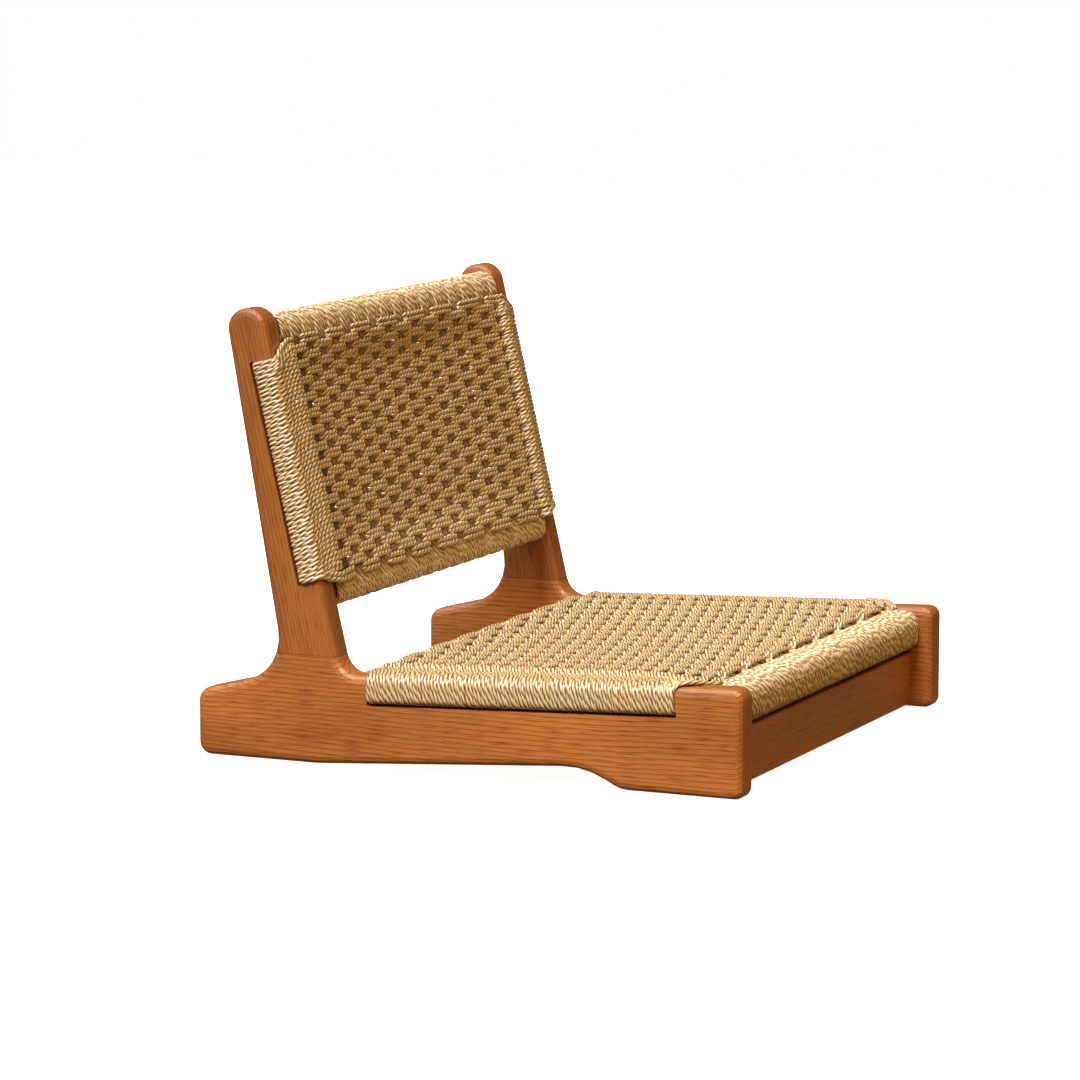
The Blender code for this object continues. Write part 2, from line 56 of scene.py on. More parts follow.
# Cord
CORD = 0.0037                  # diameter over the plies
PLIES = 3
PLY_STEP = 0.0060              # along the cord from one ply to the next
PLY_SECTION = (0.68, 0.92, 1.0, 0.92)   # radius from one groove over a ply to the next groove
LAY_SPREAD = 0.10              # how far the lay differs from strand to strand
TIGHT_LAY = 0.25               # the lay is this much longer where the cord is drawn tight round a bar
TIGHT_FROM = 0.222
TIGHT_OVER = 0.012
LAY_UNREST = 0.11              # random turn of the plies, in radians a step
ROLL_UNREST = 0.30
FINE_STEP = 0.0013             # along the cord from one ring of points to the next
ROLL_STEP = 0.0015
# Painted shade lies on the half of a strand that faces this way
SITTER = (0.0, -0.71, 0.71)    # the way that the woven faces look

# Weave
PRESS = 0.0007                 # how far neighbouring weft strands press into each other
WEFT_CRIMP = 0.0031            # a weft strand's rise and fall about the middle of the weave
WARP_CRIMP = 0.0009
CROWN = 0.0005                 # a strand bulges this much more between two gaps
CROWN_OVER = 0.013
DRAW_IN = 0.06                 # share by which two strands draw together under the warps
OUTER_BOW = 0.0009             # the outermost strands bow outwards
WARP_PITCH = 0.0031
# Painted shade on the warps: the leftmost of a group darkest, standing for the shadow in the gap beside
# it
WARP_PAINTED_SHADE = (0.95, 0.62, 0.55, 0.75)   # shade of each warp of a group, from the left
WARP_ROUNDING = 0.12
WARP_END_SPREAD = 1.10         # a group of warps spreads out on the rolls
GAP_LEFT = 0.0076              # half widths of the gap round a group; the warps lie to its right
GAP_RIGHT = 0.0060
GAP_SLOPE = 0.0033             # over this a weft strand dives
CREST_EDGE = 0.2005            # beyond it a strand rises to the bar
CREST_OVER = 0.0070
CREST_DROP = 0.6               # share of the drop to a low roll that the crest makes too
SPREAD_FROM = 0.170            # beyond it the outermost rows spread over the rails' ends
SPREAD_OVER = 0.035
WEFT_STEP = 0.0020
WEFT_WANDER = (0.00014, 0.00024)   # in height and along the panel
WARP_WANDER = 0.00020
WRAP_WOBBLE = 0.00022
STACK_PITCH = 0.7              # stacked strands lie this much closer together
STACK_RISE = 0.25              # and rise to the bar higher by this share of a cord

# Cord round the rails
ROLL_PITCH = 0.0036
ROLL_WIDTH = 0.93              # drawn tight, a winding leaves a thin gap
ROLL_WOBBLE = 0.00016
BACK_ROLL_DEPTH = 0.0111       # centres of the back's rolls behind the posts' front plane

# Both panels: rows run across, and pitch changes by growth from row to row. The wrap lies round the bars
# from wrap_first to wrap_last, with a few stacked strands at each end. The middle of the weave lies at
# height middle, less a sag that fades out at low and high. Warp groups stand in columns, moved aside by
# shift and bow. The weave drops towards a low roll. Beside the bars the outermost rows spread, the crest
# rises, by less in the first rows as tuck says and by more on the far side as far says, and the outermost
# gaps open wider.

# Seat: a is along the seat towards the back, h is up from the plane of the bars' tops
SEAT = {
    "rows": 41, "first": 0.0822, "pitch": 0.00705, "growth": 0.0,
    "wrap_first": 0.0846, "wrap_last": -0.1830, "stacked_first": 1, "stacked_last": 5,
    "middle": 0.0018, "bar": SEAT_BAR_HEIGHT,
    "sag": 0.0050, "low": -0.1957, "high": 0.0882,
    "columns": 15, "column_first": -0.1835, "column_pitch": 0.02706, "column_curve": 0.0,
    "shift": 0.0080, "bow": -0.0100, "drop": 0.0034, "drop_from": -0.1500, "drop_over": 0.0450,
    "spread_first": 0.0020, "spread_last": 0.0068,
    "crest": 0.0008, "tuck": 0.0, "far": 0.0, "open": 0.0050,
}
# Back: a is the distance up the back, h is out of it, towards the sitter
BACK = {
    "rows": 28, "first": 0.1940, "pitch": 0.00660, "growth": 0.0000483,
    "wrap_first": 0.1812, "wrap_last": -0.0004, "stacked_first": 4, "stacked_last": 2,
    "middle": -0.0009, "bar": BACK_BAR_DEPTH,
    "sag": 0.0060, "low": 0.0008, "high": 0.1937,
    "columns": 16, "column_first": -0.1922, "column_pitch": 0.0213, "column_curve": 0.00035,
    "shift": 0.0120, "bow": -0.0060, "drop": 0.0, "drop_from": 0.0, "drop_over": 1.0,
    "spread_first": -0.0008, "spread_last": 0.0020,
    "crest": 0.0046, "tuck": 0.5, "far": 0.0030, "open": 0.0,
}


def seat_point(x, a, h):
    top = FRONT_HEIGHT - (a - FRONT_Y) * math.tan(SEAT_TILT)
    return np.stack([x, a + h * math.sin(SEAT_TILT), top + h * math.cos(SEAT_TILT)], axis=-1)


def back_point(x, a, h):
    y = POST_FRONT_Y + a * math.sin(BACK_TILT) - h * math.cos(BACK_TILT)
    z = POST_REFERENCE_Z + a * math.cos(BACK_TILT) + h * math.sin(BACK_TILT)
    return np.stack([x, y, z], axis=-1)


def smooth(t):
    t = np.clip(t, 0, 1)
    return t * t * (3 - 2 * t)


# Twisted cord

def smooth_path(points, step):
    """Evenly spaced points, with their painted shade, on a smooth curve through the given ones."""
    p = np.asarray(points, float)
    p = np.vstack([2 * p[0] - p[1], p, 2 * p[-1] - p[-2]])
    t = np.linspace(0, 1, 6, endpoint=False)[None, :, None]
    a, b, c, d = (p[k:len(p) - 3 + k, None, :] for k in range(4))
    square = (2 * a - 5 * b + 4 * c - d) * t ** 2
    cube = (3 * b - a - 3 * c + d) * t ** 3
    dense = 0.5 * (2 * b + (c - a) * t + square + cube)
    dense = np.vstack([dense.reshape(-1, p.shape[1]), p[-2:-1]])
    length = np.concatenate([[0], np.cumsum(np.linalg.norm(np.diff(dense[:, :3], axis=0), axis=1))])
    count = max(2, int(round(length[-1] / step)) + 1)
    at = np.linspace(0, length[-1], count)
    return np.stack([np.interp(at, length, dense[:, k]) for k in range(p.shape[1])], axis=1)


def cord_mesh(name, paths, widths, side, step, unrest):
    """One mesh of plied cords along smooth paths; side is a direction that no path runs along.

    Painted shade, given with the paths, darkens the half of a strand that faces the sitter.
    """
    ring = PLIES * len(PLY_SECTION)
    turns = np.arange(ring) / ring
    radii = np.tile(PLY_SECTION, PLIES) * CORD / 2
    side = np.asarray(side, float)
    verts, faces, uvs, painted_shades, start = [], [], [], [], 0
    for path, width in zip(paths, widths):
        p = smooth_path(path, step)
        depth = np.clip(p[:, 3], 0, 1)
        p = p[:, :3]
        n = len(p)
        tangent = np.gradient(p, axis=0)
        tangent /= np.linalg.norm(tangent, axis=1)[:, None]
        across = side - tangent * (tangent @ side)[:, None]
        across /= np.linalg.norm(across, axis=1)[:, None]
        out = np.cross(tangent, across)
        across *= width
        along = np.arange(n) * step
        lay = PLIES * PLY_STEP * rng.uniform(1 - LAY_SPREAD, 1 + LAY_SPREAD)
        rate = (1 - TIGHT_LAY * smooth((np.abs(p[:, 0]) - TIGHT_FROM) / TIGHT_OVER)) / lay
        wander = np.cumsum(rng.normal(0, unrest, n))
        spin = wander - 2 * math.pi * (rng.random() + np.cumsum(rate) * step)
        angle = 2 * math.pi * turns[None, :] + spin[:, None]
        outward = (np.cos(angle)[..., None] * across[:, None, :]
                   + np.sin(angle)[..., None] * out[:, None, :])
        v = p[:, None, :] + radii[None, :, None] * outward
        verts.append(v.reshape(-1, 3))
        i = np.arange(n - 1)[:, None] * ring
        j = np.arange(ring)[None, :]
        k = (j + 1) % ring
        faces.append(np.stack([i + j, i + k, i + ring + k, i + ring + j], axis=-1).reshape(-1, 4) + start)
        shift = rng.random() * 10
        u0 = np.broadcast_to(along[:-1, None] + shift, (n - 1, ring))
        u1 = np.broadcast_to(along[1:, None] + shift, (n - 1, ring))
        v0 = np.broadcast_to(turns[None, :], (n - 1, ring))
        v1 = v0 + 1 / ring
        uvs.append(np.stack([u0, v0, u0, v1, u1, v1, u1, v0], axis=-1).reshape(-1, 2))
        # Painted shade goes into the depth UV layer, on the side of the strand that faces the sitter
        painted_shade = depth[:, None] * smooth(0.6 + outward @ SITTER)
        beside = np.roll(painted_shade, -1, axis=1)
        corners = np.stack([painted_shade[:-1], beside[:-1], beside[1:], painted_shade[1:]], axis=-1)
        painted_shades.append(np.repeat(corners, 2, axis=-1).reshape(-1, 2))
        start += n * ring
    verts = np.vstack(verts)
    faces = np.vstack(faces)
    mesh = bpy.data.meshes.new(name)
    mesh.vertices.add(len(verts))
    mesh.vertices.foreach_set("co", verts.astype(np.float32).ravel())
    mesh.loops.add(faces.size)
    mesh.loops.foreach_set("vertex_index", faces.astype(np.int32).ravel())
    mesh.polygons.add(len(faces))
    mesh.polygons.foreach_set("loop_start", np.arange(0, faces.size, 4, dtype=np.int32))
    for layer_name, values in (("cord", uvs), ("depth", painted_shades)):
        layer = mesh.uv_layers.new(name=layer_name)
        layer.data.foreach_set("uv", np.vstack(values).astype(np.float32).ravel())
    mesh.update(calc_edges=True)
    mesh.validate()
    mesh.shade_smooth()
    return mesh


def add_cord(name, paths, widths, side, replaced, step=FINE_STEP, unrest=LAY_UNREST):
    piece = bpy.data.objects.new(name, cord_mesh(name, paths, widths, side, step, unrest))
    bpy.context.scene.collection.objects.link(piece)
    piece.data.materials.append(cord_material)
    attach(piece, "root")
    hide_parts(*replaced)


def add_groups(name, paths, widths, groups, side, replaced):
    """The paths shared out over a few pieces."""
    share = math.ceil(len(paths) / groups)
    for group in range(groups):
        chosen = slice(group * share, (group + 1) * share)
        add_cord(f"{name}_{group + 1}", paths[chosen], widths[chosen], side, replaced)


# Materials

CORD_TONES = ((0.30, (0.62, 0.43, 0.155)), (0.50, (0.76, 0.56, 0.22)), (0.72, (0.86, 0.68, 0.34)))
# Painted shade: darker colour in the grooves between plies, and on cord deep in the weave
GROOVE_PAINTED_SHADE = ((0.12, (1.0, 1.0, 1.0)), (0.30, (0.66, 0.50, 0.34)), (0.46, (0.10, 0.05, 0.02)))
DEPTH_PAINTED_SHADE = ((0.0, (1.0, 1.0, 1.0)), (0.5, (0.62, 0.52, 0.42)), (1.0, (0.16, 0.11, 0.07)))
WOOD_LIGHT = (0.465, 0.160, 0.027)
WOOD_MIDDLE = (0.430, 0.141, 0.021)
WOOD_DARK = (0.260, 0.066, 0.009)
PORE_SHADE = ((0.34, (0.52, 0.42, 0.34)), (0.46, (1.0, 1.0, 1.0)), (0.75, (1.08, 1.07, 1.05)))
CLOUD_SHADE = ((0.30, (0.74, 0.66, 0.58)), (0.70, (1.14, 1.12, 1.10)))
POST_GRAIN_LEAN = math.radians(12.0)


def new_material(name):
    material = bpy.data.materials.new(name)
    material.use_nodes = True
    return material, material.node_tree, material.node_tree.nodes["Principled BSDF"]


def ramp(tree, source, stops):
    node = tree.nodes.new("ShaderNodeValToRGB")
    elements = node.color_ramp.elements
    while len(elements) > 1:
        elements.remove(elements[-1])
    elements[0].position, elements[0].color = stops[0][0], (*stops[0][1], 1)
    for position, color in stops[1:]:
        elements.new(position).color = (*color, 1)
    tree.links.new(source, node.inputs[0])
    return node.outputs[0]


def math_node(tree, operation, a, b=None):
    node = tree.nodes.new("ShaderNodeMath")
    node.operation = operation
    for socket, value in zip(node.inputs, (a, b)):
        if value is None:
            continue
        if isinstance(value, (int, float)):
            socket.default_value = value
        else:
            tree.links.new(value, socket)
    return node.outputs[0]


def noise(tree, vector, scale, detail):
    """Noise at a scale of its own along each axis."""
    mapping = tree.nodes.new("ShaderNodeMapping")
    mapping.inputs["Scale"].default_value = scale
    tree.links.new(vector, mapping.inputs["Vector"])
    node = tree.nodes.new("ShaderNodeTexNoise")
    node.inputs["Scale"].default_value = 1.0
    node.inputs["Detail"].default_value = detail
    tree.links.new(mapping.outputs[0], node.inputs["Vector"])
    return node.outputs[0]


def multiply(tree, a, b):
    mix = tree.nodes.new("ShaderNodeMix")
    mix.data_type = "RGBA"
    mix.blend_type = "MULTIPLY"
    mix.inputs[0].default_value = 1.0
    tree.links.new(a, mix.inputs[6])
    tree.links.new(b, mix.inputs[7])
    return mix.outputs[2]


def make_cord_material():
    material, tree, shader = new_material("paper_cord")
    uv = tree.nodes.new("ShaderNodeUVMap")
    uv.uv_map = "cord"
    split = tree.nodes.new("ShaderNodeSeparateXYZ")
    tree.links.new(uv.outputs[0], split.inputs[0])
    # The groove between two plies is where v times the plies is whole
    ply = math_node(tree, "FRACT", math_node(tree, "MULTIPLY", split.outputs[1], float(PLIES)))
    groove = math_node(tree, "ABSOLUTE", math_node(tree, "SUBTRACT", ply, 0.5))
    drift = noise(tree, uv.outputs[0], (18.0, 18.0, 18.0), 3.0)
    fibre = noise(tree, uv.outputs[0], (350.0, 9.0, 1.0), 4.0)
    mixed = math_node(tree, "ADD", math_node(tree, "MULTIPLY", drift, 0.55),
                      math_node(tree, "MULTIPLY", fibre, 0.45))
    tone = ramp(tree, mixed, CORD_TONES)
    # Painted shade in the grooves between plies
    painted_shade = ramp(tree, groove, GROOVE_PAINTED_SHADE)
    # Painted shade: cord that lies deep in the weave is darkened
    depth = tree.nodes.new("ShaderNodeUVMap")
    depth.uv_map = "depth"
    depth_split = tree.nodes.new("ShaderNodeSeparateXYZ")
    tree.links.new(depth.outputs[0], depth_split.inputs[0])
    painted_deep_shade = ramp(tree, depth_split.outputs[0], DEPTH_PAINTED_SHADE)
    tree.links.new(multiply(tree, multiply(tree, tone, painted_shade), painted_deep_shade), shader.inputs["Base Color"])
    bump = tree.nodes.new("ShaderNodeBump")
    bump.inputs["Strength"].default_value = 0.5
    bump.inputs["Distance"].default_value = 0.0004
    tree.links.new(fibre, bump.inputs["Height"])
    tree.links.new(bump.outputs[0], shader.inputs["Normal"])
    shader.inputs["Roughness"].default_value = 0.46
    shader.inputs["IOR"].default_value = 2.0
    shader.inputs["Sheen Weight"].default_value = 0.18
    shader.inputs["Sheen Roughness"].default_value = 0.40
    return material


def make_wood_material(name, lean, axis, pith, ring_step, contrast, depth=1.0):
    """Growth rings about a pith line along the grain; lean turns the grain in the side view.

    Contrast is that of the rings, and depth makes the whole darker.
    """
    material, tree, shader = new_material(name)
    coordinates = tree.nodes.new("ShaderNodeTexCoord")
    turn = tree.nodes.new("ShaderNodeMapping")
    turn.inputs["Rotation"].default_value = lean
    tree.links.new(coordinates.outputs["Object"], turn.inputs["Vector"])
    place = turn.outputs[0]

    def along_grain(slow, fast, detail):
        return noise(tree, place, tuple(slow if k == axis else fast for k in range(3)), detail)

    # Waviness: a slow wander of the rings along the grain
    wander = along_grain(2.2, 12.0, 3.0)
    split = tree.nodes.new("ShaderNodeSeparateXYZ")
    tree.links.new(place, split.inputs[0])
    across = [k for k in range(3) if k != axis]
    offsets = [math_node(tree, "SUBTRACT", split.outputs[k], pith[i]) for i, k in enumerate(across)]
    squares = [math_node(tree, "MULTIPLY", o, o) for o in offsets]
    distance = math_node(tree, "SQRT", math_node(tree, "ADD", *squares))
    rings = math_node(tree, "ADD", math_node(tree, "DIVIDE", distance, ring_step),
                      math_node(tree, "MULTIPLY", wander, 7.0))
    late = math_node(tree, "FRACT", rings)
    light, middle, dark = (
        tuple(depth * (m + contrast * (c - m)) for c, m in zip(tone, WOOD_MIDDLE))
        for tone in (WOOD_LIGHT, WOOD_MIDDLE, WOOD_DARK))
    bands = ramp(tree, late, [(0.0, light), (0.62, middle), (0.82, dark), (0.90, dark), (1.0, light)])
    # Pores and fibres: fine streaks along the grain
    fibre = along_grain(45.0, 1500.0, 3.0)
    fine = ramp(tree, fibre, PORE_SHADE)
    # Broad tone changes across the board
    cloud = along_grain(5.0, 24.0, 3.0)
    tone = ramp(tree, cloud, CLOUD_SHADE)
    tree.links.new(multiply(tree, multiply(tree, bands, fine), tone), shader.inputs["Base Color"])
    rough = math_node(tree, "ADD", math_node(tree, "MULTIPLY", fibre, -0.12), 0.50)
    tree.links.new(rough, shader.inputs["Roughness"])
    bump = tree.nodes.new("ShaderNodeBump")
    bump.inputs["Strength"].default_value = 0.22
    bump.inputs["Distance"].default_value = 0.0003
    relief = math_node(tree, "ADD", fibre, math_node(tree, "MULTIPLY", late, -0.35))
    tree.links.new(relief, bump.inputs["Height"])
    tree.links.new(bump.outputs[0], shader.inputs["Normal"])
    shader.inputs["Coat Weight"].default_value = 0.60
    shader.inputs["Coat Roughness"].default_value = 0.20
    return material


cord_material = make_cord_material()
runner_wood = make_wood_material("runner_wood", (0, 0, 0), 1, (0.0, -0.45), 0.0037, 0.75)
post_wood = make_wood_material("post_wood", (POST_GRAIN_LEAN, 0, 0), 2, (0.0, -0.35), 0.0028, 0.65, 0.84)
cross_wood = make_wood_material("cross_wood", (0, 0, 0), 0, (-0.20, -0.60), 0.0026, 0.25)

for name, node in nodes.items():
    if name.endswith("_runner"):
        material = runner_wood
    elif name.endswith("_back_post") or "post_dowel" in name:
        material = post_wood
    elif name.endswith(("_rail", "_apron")) or "dowel" in name:
        material = cross_wood
    else:
        continue
    node.data.materials.clear()
    node.data.materials.append(material)


# Woven panels

def roll_drop(panel, a):
    """How much lower the weave lies towards a low roll."""
    return panel["drop"] * smooth((panel["drop_from"] - a) / panel["drop_over"])


def sag(panel, x, a):
    """How far the weave lies below the plane of the bars: the solid's sag, and the drop to a low roll."""
    ends = smooth((a - panel["low"]) / DISH_EDGE) * smooth((panel["high"] - a) / DISH_EDGE)
    inner = np.clip(1 - (x / WEAVE_HALF_WIDTH) ** 2, 0, 1)
    return panel["sag"] * ends * inner + roll_drop(panel, a)


def row_place(panel, row):
    return panel["first"] - panel["pitch"] * row - panel["growth"] * row * row / 2


def column_place(panel, column, a):
    """The warp groups lean a little to one side, most at mid length."""
    x = panel["column_first"] + panel["column_pitch"] * column + panel["column_curve"] * column * column
    t = (a - (panel["low"] + panel["high"]) / 2) / ((panel["high"] - panel["low"]) / 2)
    return x + (panel["shift"] + panel["bow"] * t * t) * np.clip(1 - (x / WEAVE_HALF_WIDTH) ** 2, 0, 1)


def weft_height(panel, x, a, row):
    """Height of a weft strand: high over every other warp group and low under the rest."""
    low = np.full_like(x, np.inf)
    for column in range(panel["columns"]):
        if (column + row) % 2 == 0:
            away = x - column_place(panel, column, a)
            left = GAP_LEFT + panel["open"] * (column == 0)
            right = GAP_RIGHT + panel["open"] * (column == panel["columns"] - 1)
            low = np.minimum(low, np.maximum(away - right, -left - away))
    t = smooth(low / GAP_SLOPE)
    crown = CROWN * np.clip((low - GAP_SLOPE) / CROWN_OVER, 0, 1)
    return WEFT_CRIMP * (2 * t - 1) + crown


def strand_jitter(x, size):
    """Smooth random wander along a strand."""
    total = np.zeros_like(x)
    for wavelength in (0.11, 0.047, 0.023):
        total += np.sin(2 * math.pi * (x / wavelength + rng.random())) * size * wavelength / 0.11
    return total


def wrap_places(panel):
    """Place of each strand along the bar, and whether it is stacked on the others."""
    count = 2 * panel["rows"]
    first, last = panel["stacked_first"], count - panel["stacked_last"]
    pitch = (panel["wrap_last"] - panel["wrap_first"]) / (last - first - 1)
    place, stacked = [], []
    for k in range(count):
        if k < first:
            place.append(panel["wrap_first"] + pitch * (k * STACK_PITCH + 0.5))
        elif k >= last:
            place.append(panel["wrap_last"] - pitch * ((count - 1 - k) * STACK_PITCH + 0.5))
        else:
            place.append(panel["wrap_first"] + pitch * (k - first))
        stacked.append(k < first or k >= last)
    return place, stacked


def bar_profile(bar_depth, stacked):
    """(x, h) points of a strand from the bar's inner face, round the bar, to its crest."""
    r = CORD / 2
    outer = OUTER_X + r * (0.15 if stacked else 0.92)
    crest = r * (1.5 if stacked else 0.95)
    under = -bar_depth - r
    corner = PLANK_ROUND + r
    points = [(INNER_X - r, -bar_depth * 0.35), (INNER_X - r, -bar_depth * 0.75),
              (INNER_X + 0.001, under + 0.0003), (INNER_X + 0.009, under), (OUTER_X - 0.006, under),
              (OUTER_X - 0.0005, under + 0.0008), (outer, -bar_depth + 0.0015),
              (outer, -bar_depth * 0.5), (outer, -corner + r)]
    for angle in (20, 40, 60, 78):
        a = math.radians(angle)
        points.append((outer - corner + corner * math.cos(a), -corner + crest + corner * math.sin(a)))
    points.append((OUTER_X - 0.0130, crest + 0.0002))
    return points


# How far a strand has turned from its place on the bar towards its row, up the bar's side to its top
FAN = (0.03, 0.07, 0.12, 0.19, 0.28, 0.60)


def weft_paths(panel, to_world):
    place, stacked = wrap_places(panel)
    x = np.arange(-INNER_X + WEFT_STEP / 2, INNER_X, WEFT_STEP)
    paths, widths = [], []
    for k in range(2 * panel["rows"]):
        row, strand = divmod(k, 2)
        a_row = row_place(panel, row)
        width = (panel["pitch"] + panel["growth"] * row) / 4
        height = weft_height(panel, x, a_row, row)
        bow = OUTER_BOW if k in (0, 2 * panel["rows"] - 1) else 0.0
        spread = width * (1 - DRAW_IN * smooth(-height / WEFT_CRIMP)) + bow * smooth(height / WEFT_CRIMP)
        a = a_row + spread * (1 if strand == 0 else -1)
        h = panel["middle"] - sag(panel, x, a) + height
        # Near the bars a strand climbs to the crest, and the outermost rows spread over the rails' ends
        crest = panel["crest"] + CORD * (STACK_RISE if stacked[k] else 0.0)
        crest = crest - CREST_DROP * roll_drop(panel, a)
        crest = crest * (1 - panel["tuck"] * smooth((2 - row) / 2)) + panel["far"] * (x > 0)
        climb = smooth((np.abs(x) - CREST_EDGE) / CREST_OVER)
        h = h * (1 - climb) + crest * climb
        outermost = (panel["spread_first"] * smooth((2 - row) / 2)
                     - panel["spread_last"] * smooth((row - panel["rows"] + 3) / 2))
        a = a + outermost * smooth((np.abs(x) - SPREAD_FROM) / SPREAD_OVER)
        h = h + strand_jitter(x, WEFT_WANDER[0])
        a = a + strand_jitter(x, WEFT_WANDER[1])
        ends = []
        for sign in (-1, 1):
            edge = 0 if sign < 0 else -1
            points = []
            wobble = rng.normal(0, WRAP_WOBBLE)
            profile = bar_profile(panel["bar"], stacked[k])
            for n, (px, ph) in enumerate(profile):
                turn = FAN[n - len(profile) + len(FAN)] if n >= len(profile) - len(FAN) else 0.0
                points.append((sign * px, a[edge] * turn + (place[k] + wobble) * (1 - turn), ph))
            ends.append(points)
        points = np.array(ends[0] + list(zip(x, a, h)) + ends[1][::-1])
        # Painted shade: a strand is darkened most where it lies under the warps, and not at all on the
        # bars
        under = smooth(0.35 - 0.65 * height / WEFT_CRIMP) * (1 - climb)
        beyond = np.zeros(len(ends[0]))
        depth = np.concatenate([beyond, under, beyond])
        paths.append(np.column_stack([to_world(*points.T), depth]))
        widths.append((2 * width + PRESS) / CORD)
    return paths, widths


def warp_paths(panel, ends, to_world):
    """Groups of cords from roll to roll; ends gives (a, h) points beyond the rows."""
    paths = []
    beyond = [np.zeros(len(end)) for end in ends]
    for column in range(panel["columns"]):
        for cord in range(len(WARP_PAINTED_SHADE)):
            spread = (cord - (len(WARP_PAINTED_SHADE) - 1) / 2) * WARP_PITCH
            a = [p[0] for p in ends[0]]
            rise = [p[1] for p in ends[0]]
            for row in range(panel["rows"]):
                a.append(row_place(panel, row))
                over = 1 if (column + row) % 2 == 0 else -1
                crimp = WARP_CRIMP * (1 - WARP_ROUNDING * abs(spread) / WARP_PITCH)
                rise.append(panel["middle"] + crimp * over)
            a = np.array(a + [p[0] for p in ends[1]])
            rise = np.array(rise + [p[1] for p in ends[1]])
            inside = np.clip(a, panel["low"], panel["high"])
            x = column_place(panel, column, inside) + spread * np.where(a == inside, 1.0, WARP_END_SPREAD)
            x = x + strand_jitter(a, WARP_WANDER)
            # Painted shade: the warps of the groups beside the bars are darkest, the others by their
            # place in the group
            painted_shade = 1.0 if column in (0, panel["columns"] - 1) else WARP_PAINTED_SHADE[cord]
            depth = np.concatenate([beyond[0], np.full(panel["rows"], painted_shade), beyond[1]])
            paths.append(np.column_stack([to_world(x, a, rise - sag(panel, x, a)), depth]))
    return paths, [1.0] * len(paths)


# Warps of the seat start on the rear roll's top and end on the front roll's top
seat_ends = (
    [(0.1150, -0.0165), (0.1120, -0.0085), (0.1040, -0.0040), (0.0960, -0.0022), (0.0890, 0.0004)],
    [(-0.1990, 0.0010), (-0.2070, -0.0014), (-0.2170, -0.0026), (-0.2260, -0.0062), (-0.2300, -0.0130)])
back_ends = (
    [(0.2190, -0.0125), (0.2180, -0.0070), (0.2130, -0.0008), (0.2070, 0.0008), (0.2010, 0.0006)],
    [(-0.0080, -0.0004), (-0.0120, -0.0004), (-0.0190, -0.0020), (-0.0242, -0.0062), (-0.0255, -0.0120)])

X_AXIS = (1, 0, 0)
SEAT_ALONG = (0, -math.cos(SEAT_TILT), math.sin(SEAT_TILT))
BACK_ALONG = (0, math.sin(BACK_TILT), math.cos(BACK_TILT))

add_groups("seat_weft", *weft_paths(SEAT, seat_point), 6, SEAT_ALONG,
           ("seat_weave", "seat_right_wrap", "seat_left_wrap"))
add_groups("seat_warp", *warp_paths(SEAT, seat_ends, seat_point), 3, X_AXIS, ("seat_weave",))
add_groups("back_weft", *weft_paths(BACK, back_point), 4, BACK_ALONG,
           ("back_weave", "back_right_wrap", "back_left_wrap"))
add_groups("back_warp", *warp_paths(BACK, back_ends, back_point), 3, X_AXIS, ("back_weave",))


# Cord round the rails: one winding each, in two lengths

def winding(centre, size, round_radius, lean):
    """Points of a winding round a rounded rectangle in the side view; size is the cord's centre line."""
    half_y, half_z = size[0] / 2, size[1] / 2
    corners = []
    for sy, sz, start in ((1, -1, -90), (1, 1, 0), (-1, 1, 90), (-1, -1, 180)):
        for step in range(4):
            a = math.radians(start + 30 * step)
            corners.append((sy * (half_y - round_radius) + round_radius * math.cos(a),
                            sz * (half_z - round_radius) + round_radius * math.sin(a)))
    turns = int(round((2 * INNER_X - CORD) / ROLL_PITCH))
    pitch = (2 * INNER_X - CORD) / turns
    c, s = math.cos(lean), math.sin(lean)
    points = []
    for turn in range(turns):
        wobble = rng.normal(0, ROLL_WOBBLE)
        for n, (y, z) in enumerate(corners):
            x = -INNER_X + CORD / 2 + pitch * (turn + n / len(corners)) + wobble
            points.append((x, centre[0] + y * c + z * s, centre[1] - y * s + z * c, 0.0))
    return np.array(points)


top_roll = back_point(0.0, 0.2075, -BACK_ROLL_DEPTH)
bottom_roll = back_point(0.0, -0.0130, -BACK_ROLL_DEPTH)
# Name, centre and size in the side view, corner radius, lean
rolls = (
    ("seat_front_roll", (-0.2140, 0.0690), (0.0360, 0.0350), 0.0105, 0.0),
    ("seat_rear_roll", (0.1025, 0.0590), (0.0290, 0.0290), 0.0095, 0.0),
    ("back_top_roll", tuple(top_roll[1:]), (0.0240, 0.0270), 0.0087, BACK_TILT),
    ("back_bottom_roll", tuple(bottom_roll[1:]), (0.0240, 0.0270), 0.0087, BACK_TILT),
)
for name, centre, size, radius, lean in rolls:
    points = winding(centre, (size[0] - CORD, size[1] - CORD), radius, lean)
    half = len(points) // 2
    add_cord(name + "_cord_1", [points[:half + 1]], [ROLL_WIDTH], X_AXIS, (name,), ROLL_STEP, ROLL_UNREST)
    add_cord(name + "_cord_2", [points[half:]], [ROLL_WIDTH], X_AXIS, (name,), ROLL_STEP, ROLL_UNREST)


# Floor, light and camera

floor_mesh = bpy.data.meshes.new("floor")
floor_mesh.from_pydata([(-6, -6, 0), (6, -6, 0), (6, 6, 0), (-6, 6, 0)], [], [(0, 1, 2, 3)])
floor = bpy.data.objects.new("floor", floor_mesh)
bpy.context.scene.collection.objects.link(floor)
floor_material, _, floor_shader = new_material("floor_white")
floor_shader.inputs["Base Color"].default_value = (0.75, 0.75, 0.75, 1)
floor_shader.inputs["Roughness"].default_value = 0.9
floor_shader.inputs["Specular IOR Level"].default_value = 0.0
floor_shader.inputs["Emission Color"].default_value = (1, 1, 1, 1)
floor_shader.inputs["Emission Strength"].default_value = 0.95
floor.data.materials.append(floor_material)
floor.visible_diffuse = False
floor.visible_glossy = False


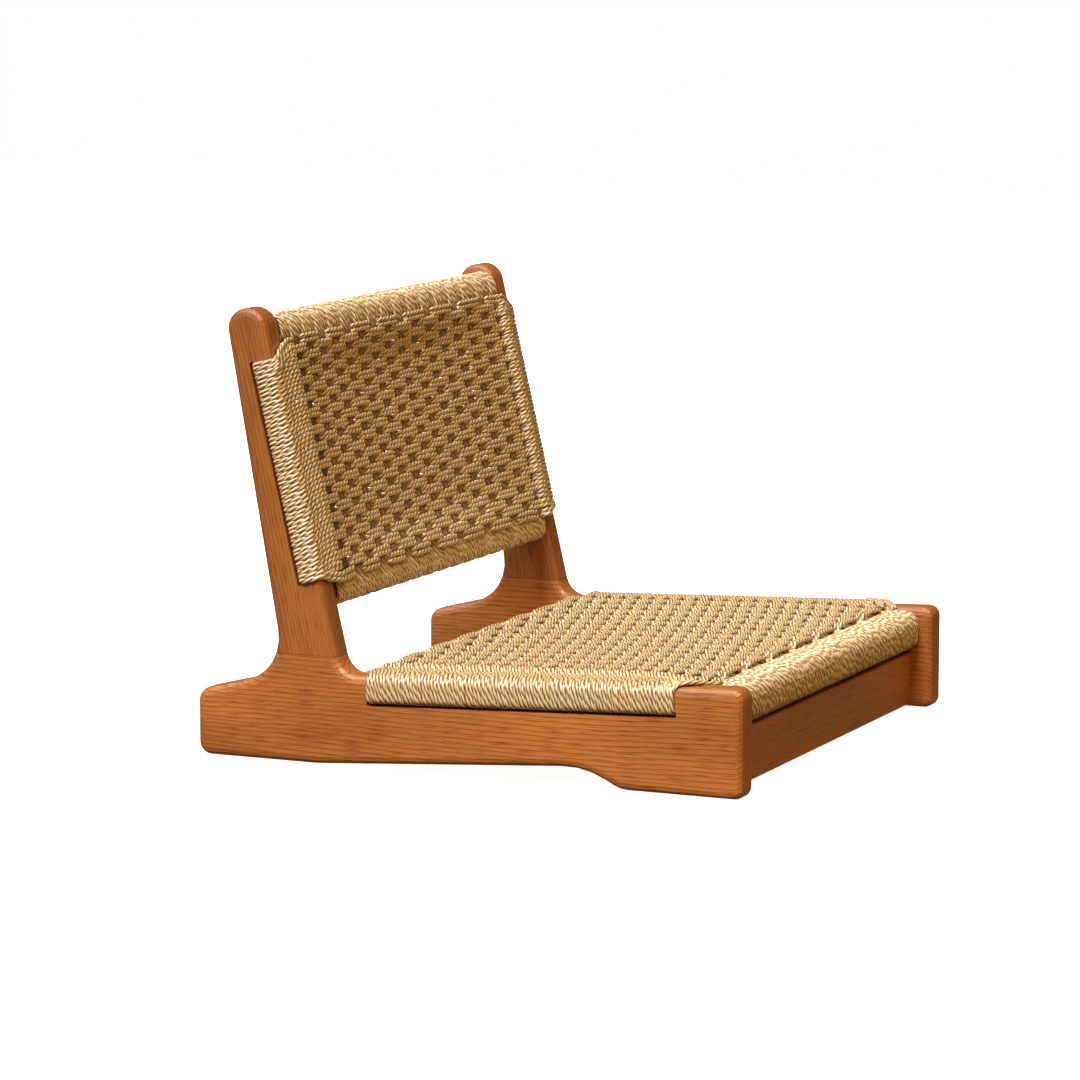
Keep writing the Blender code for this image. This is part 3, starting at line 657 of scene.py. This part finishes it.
def sun_light(name, direction, spread, strength, color=(1, 1, 1)):
    """A sun that shines from a direction, with its spread in degrees."""
    data = bpy.data.lights.new(name, "SUN")
    data.angle = math.radians(spread)
    data.energy = strength
    data.color = color
    light = bpy.data.objects.new(name, data)
    light.rotation_euler = Vector(direction).to_track_quat("Z", "Y").to_euler()
    bpy.context.scene.collection.objects.link(light)


sun_light("key", (-0.80, 0.10, 1.02), 22, 3.8, (0.97, 1.12, 1.56))
sun_light("top", (-0.2, 0.3, 1.0), 60, 1.0)
sun_light("fill", (-0.60, -0.60, 0.90), 20, 1.15, (1.0, 0.67, 0.31))
world = bpy.data.worlds.new("studio")
world.use_nodes = True
tree = world.node_tree
ambient = tree.nodes["Background"]
ambient.inputs[0].default_value = (1.0, 0.60, 0.23, 1)
ambient.inputs[1].default_value = 0.22
seen = tree.nodes.new("ShaderNodeBackground")
seen.inputs[0].default_value = (1, 1, 1, 1)
seen.inputs[1].default_value = 1.0
rays = tree.nodes.new("ShaderNodeLightPath")
blend = tree.nodes.new("ShaderNodeMixShader")
tree.links.new(rays.outputs["Is Camera Ray"], blend.inputs[0])
tree.links.new(ambient.outputs[0], blend.inputs[1])
tree.links.new(seen.outputs[0], blend.inputs[2])
tree.links.new(blend.outputs[0], tree.nodes["World Output"].inputs["Surface"])
bpy.context.scene.world = world
bpy.context.scene.view_settings.view_transform = "Standard"

# The camera that was fitted to the photograph
PHOTO_WIDTH = 1080.0
FOCAL_PIXELS = 4826.88
SENSOR_WIDTH = 36.0
CAMERA_DISTANCE = 4.1587
CAMERA_RISE = 0.1593
CAMERA_SHIFT = (0, 0.0374, 0)
azimuth, elevation, roll = math.radians(-66.158), math.radians(8.3117), math.radians(0.109)
behind = Vector((math.sin(azimuth) * math.cos(elevation), -math.cos(azimuth) * math.cos(elevation),
                 math.sin(elevation)))
right = Vector((0, 0, 1)).cross(behind).normalized()
up = behind.cross(right)
right, up = (math.cos(roll) * right + math.sin(roll) * up, -math.sin(roll) * right + math.cos(roll) * up)
position = behind * CAMERA_DISTANCE + up * CAMERA_RISE + Vector(CAMERA_SHIFT)
camera_data = bpy.data.cameras.new("camera")
camera_data.sensor_width = SENSOR_WIDTH
camera_data.lens = SENSOR_WIDTH * FOCAL_PIXELS / PHOTO_WIDTH
camera_data.clip_end = 50.0
camera = bpy.data.objects.new("camera", camera_data)
turned = Matrix((right, up, behind)).transposed()
camera.matrix_world = Matrix.Translation(position) @ turned.to_4x4()
bpy.context.scene.collection.objects.link(camera)
bpy.context.scene.camera = camera
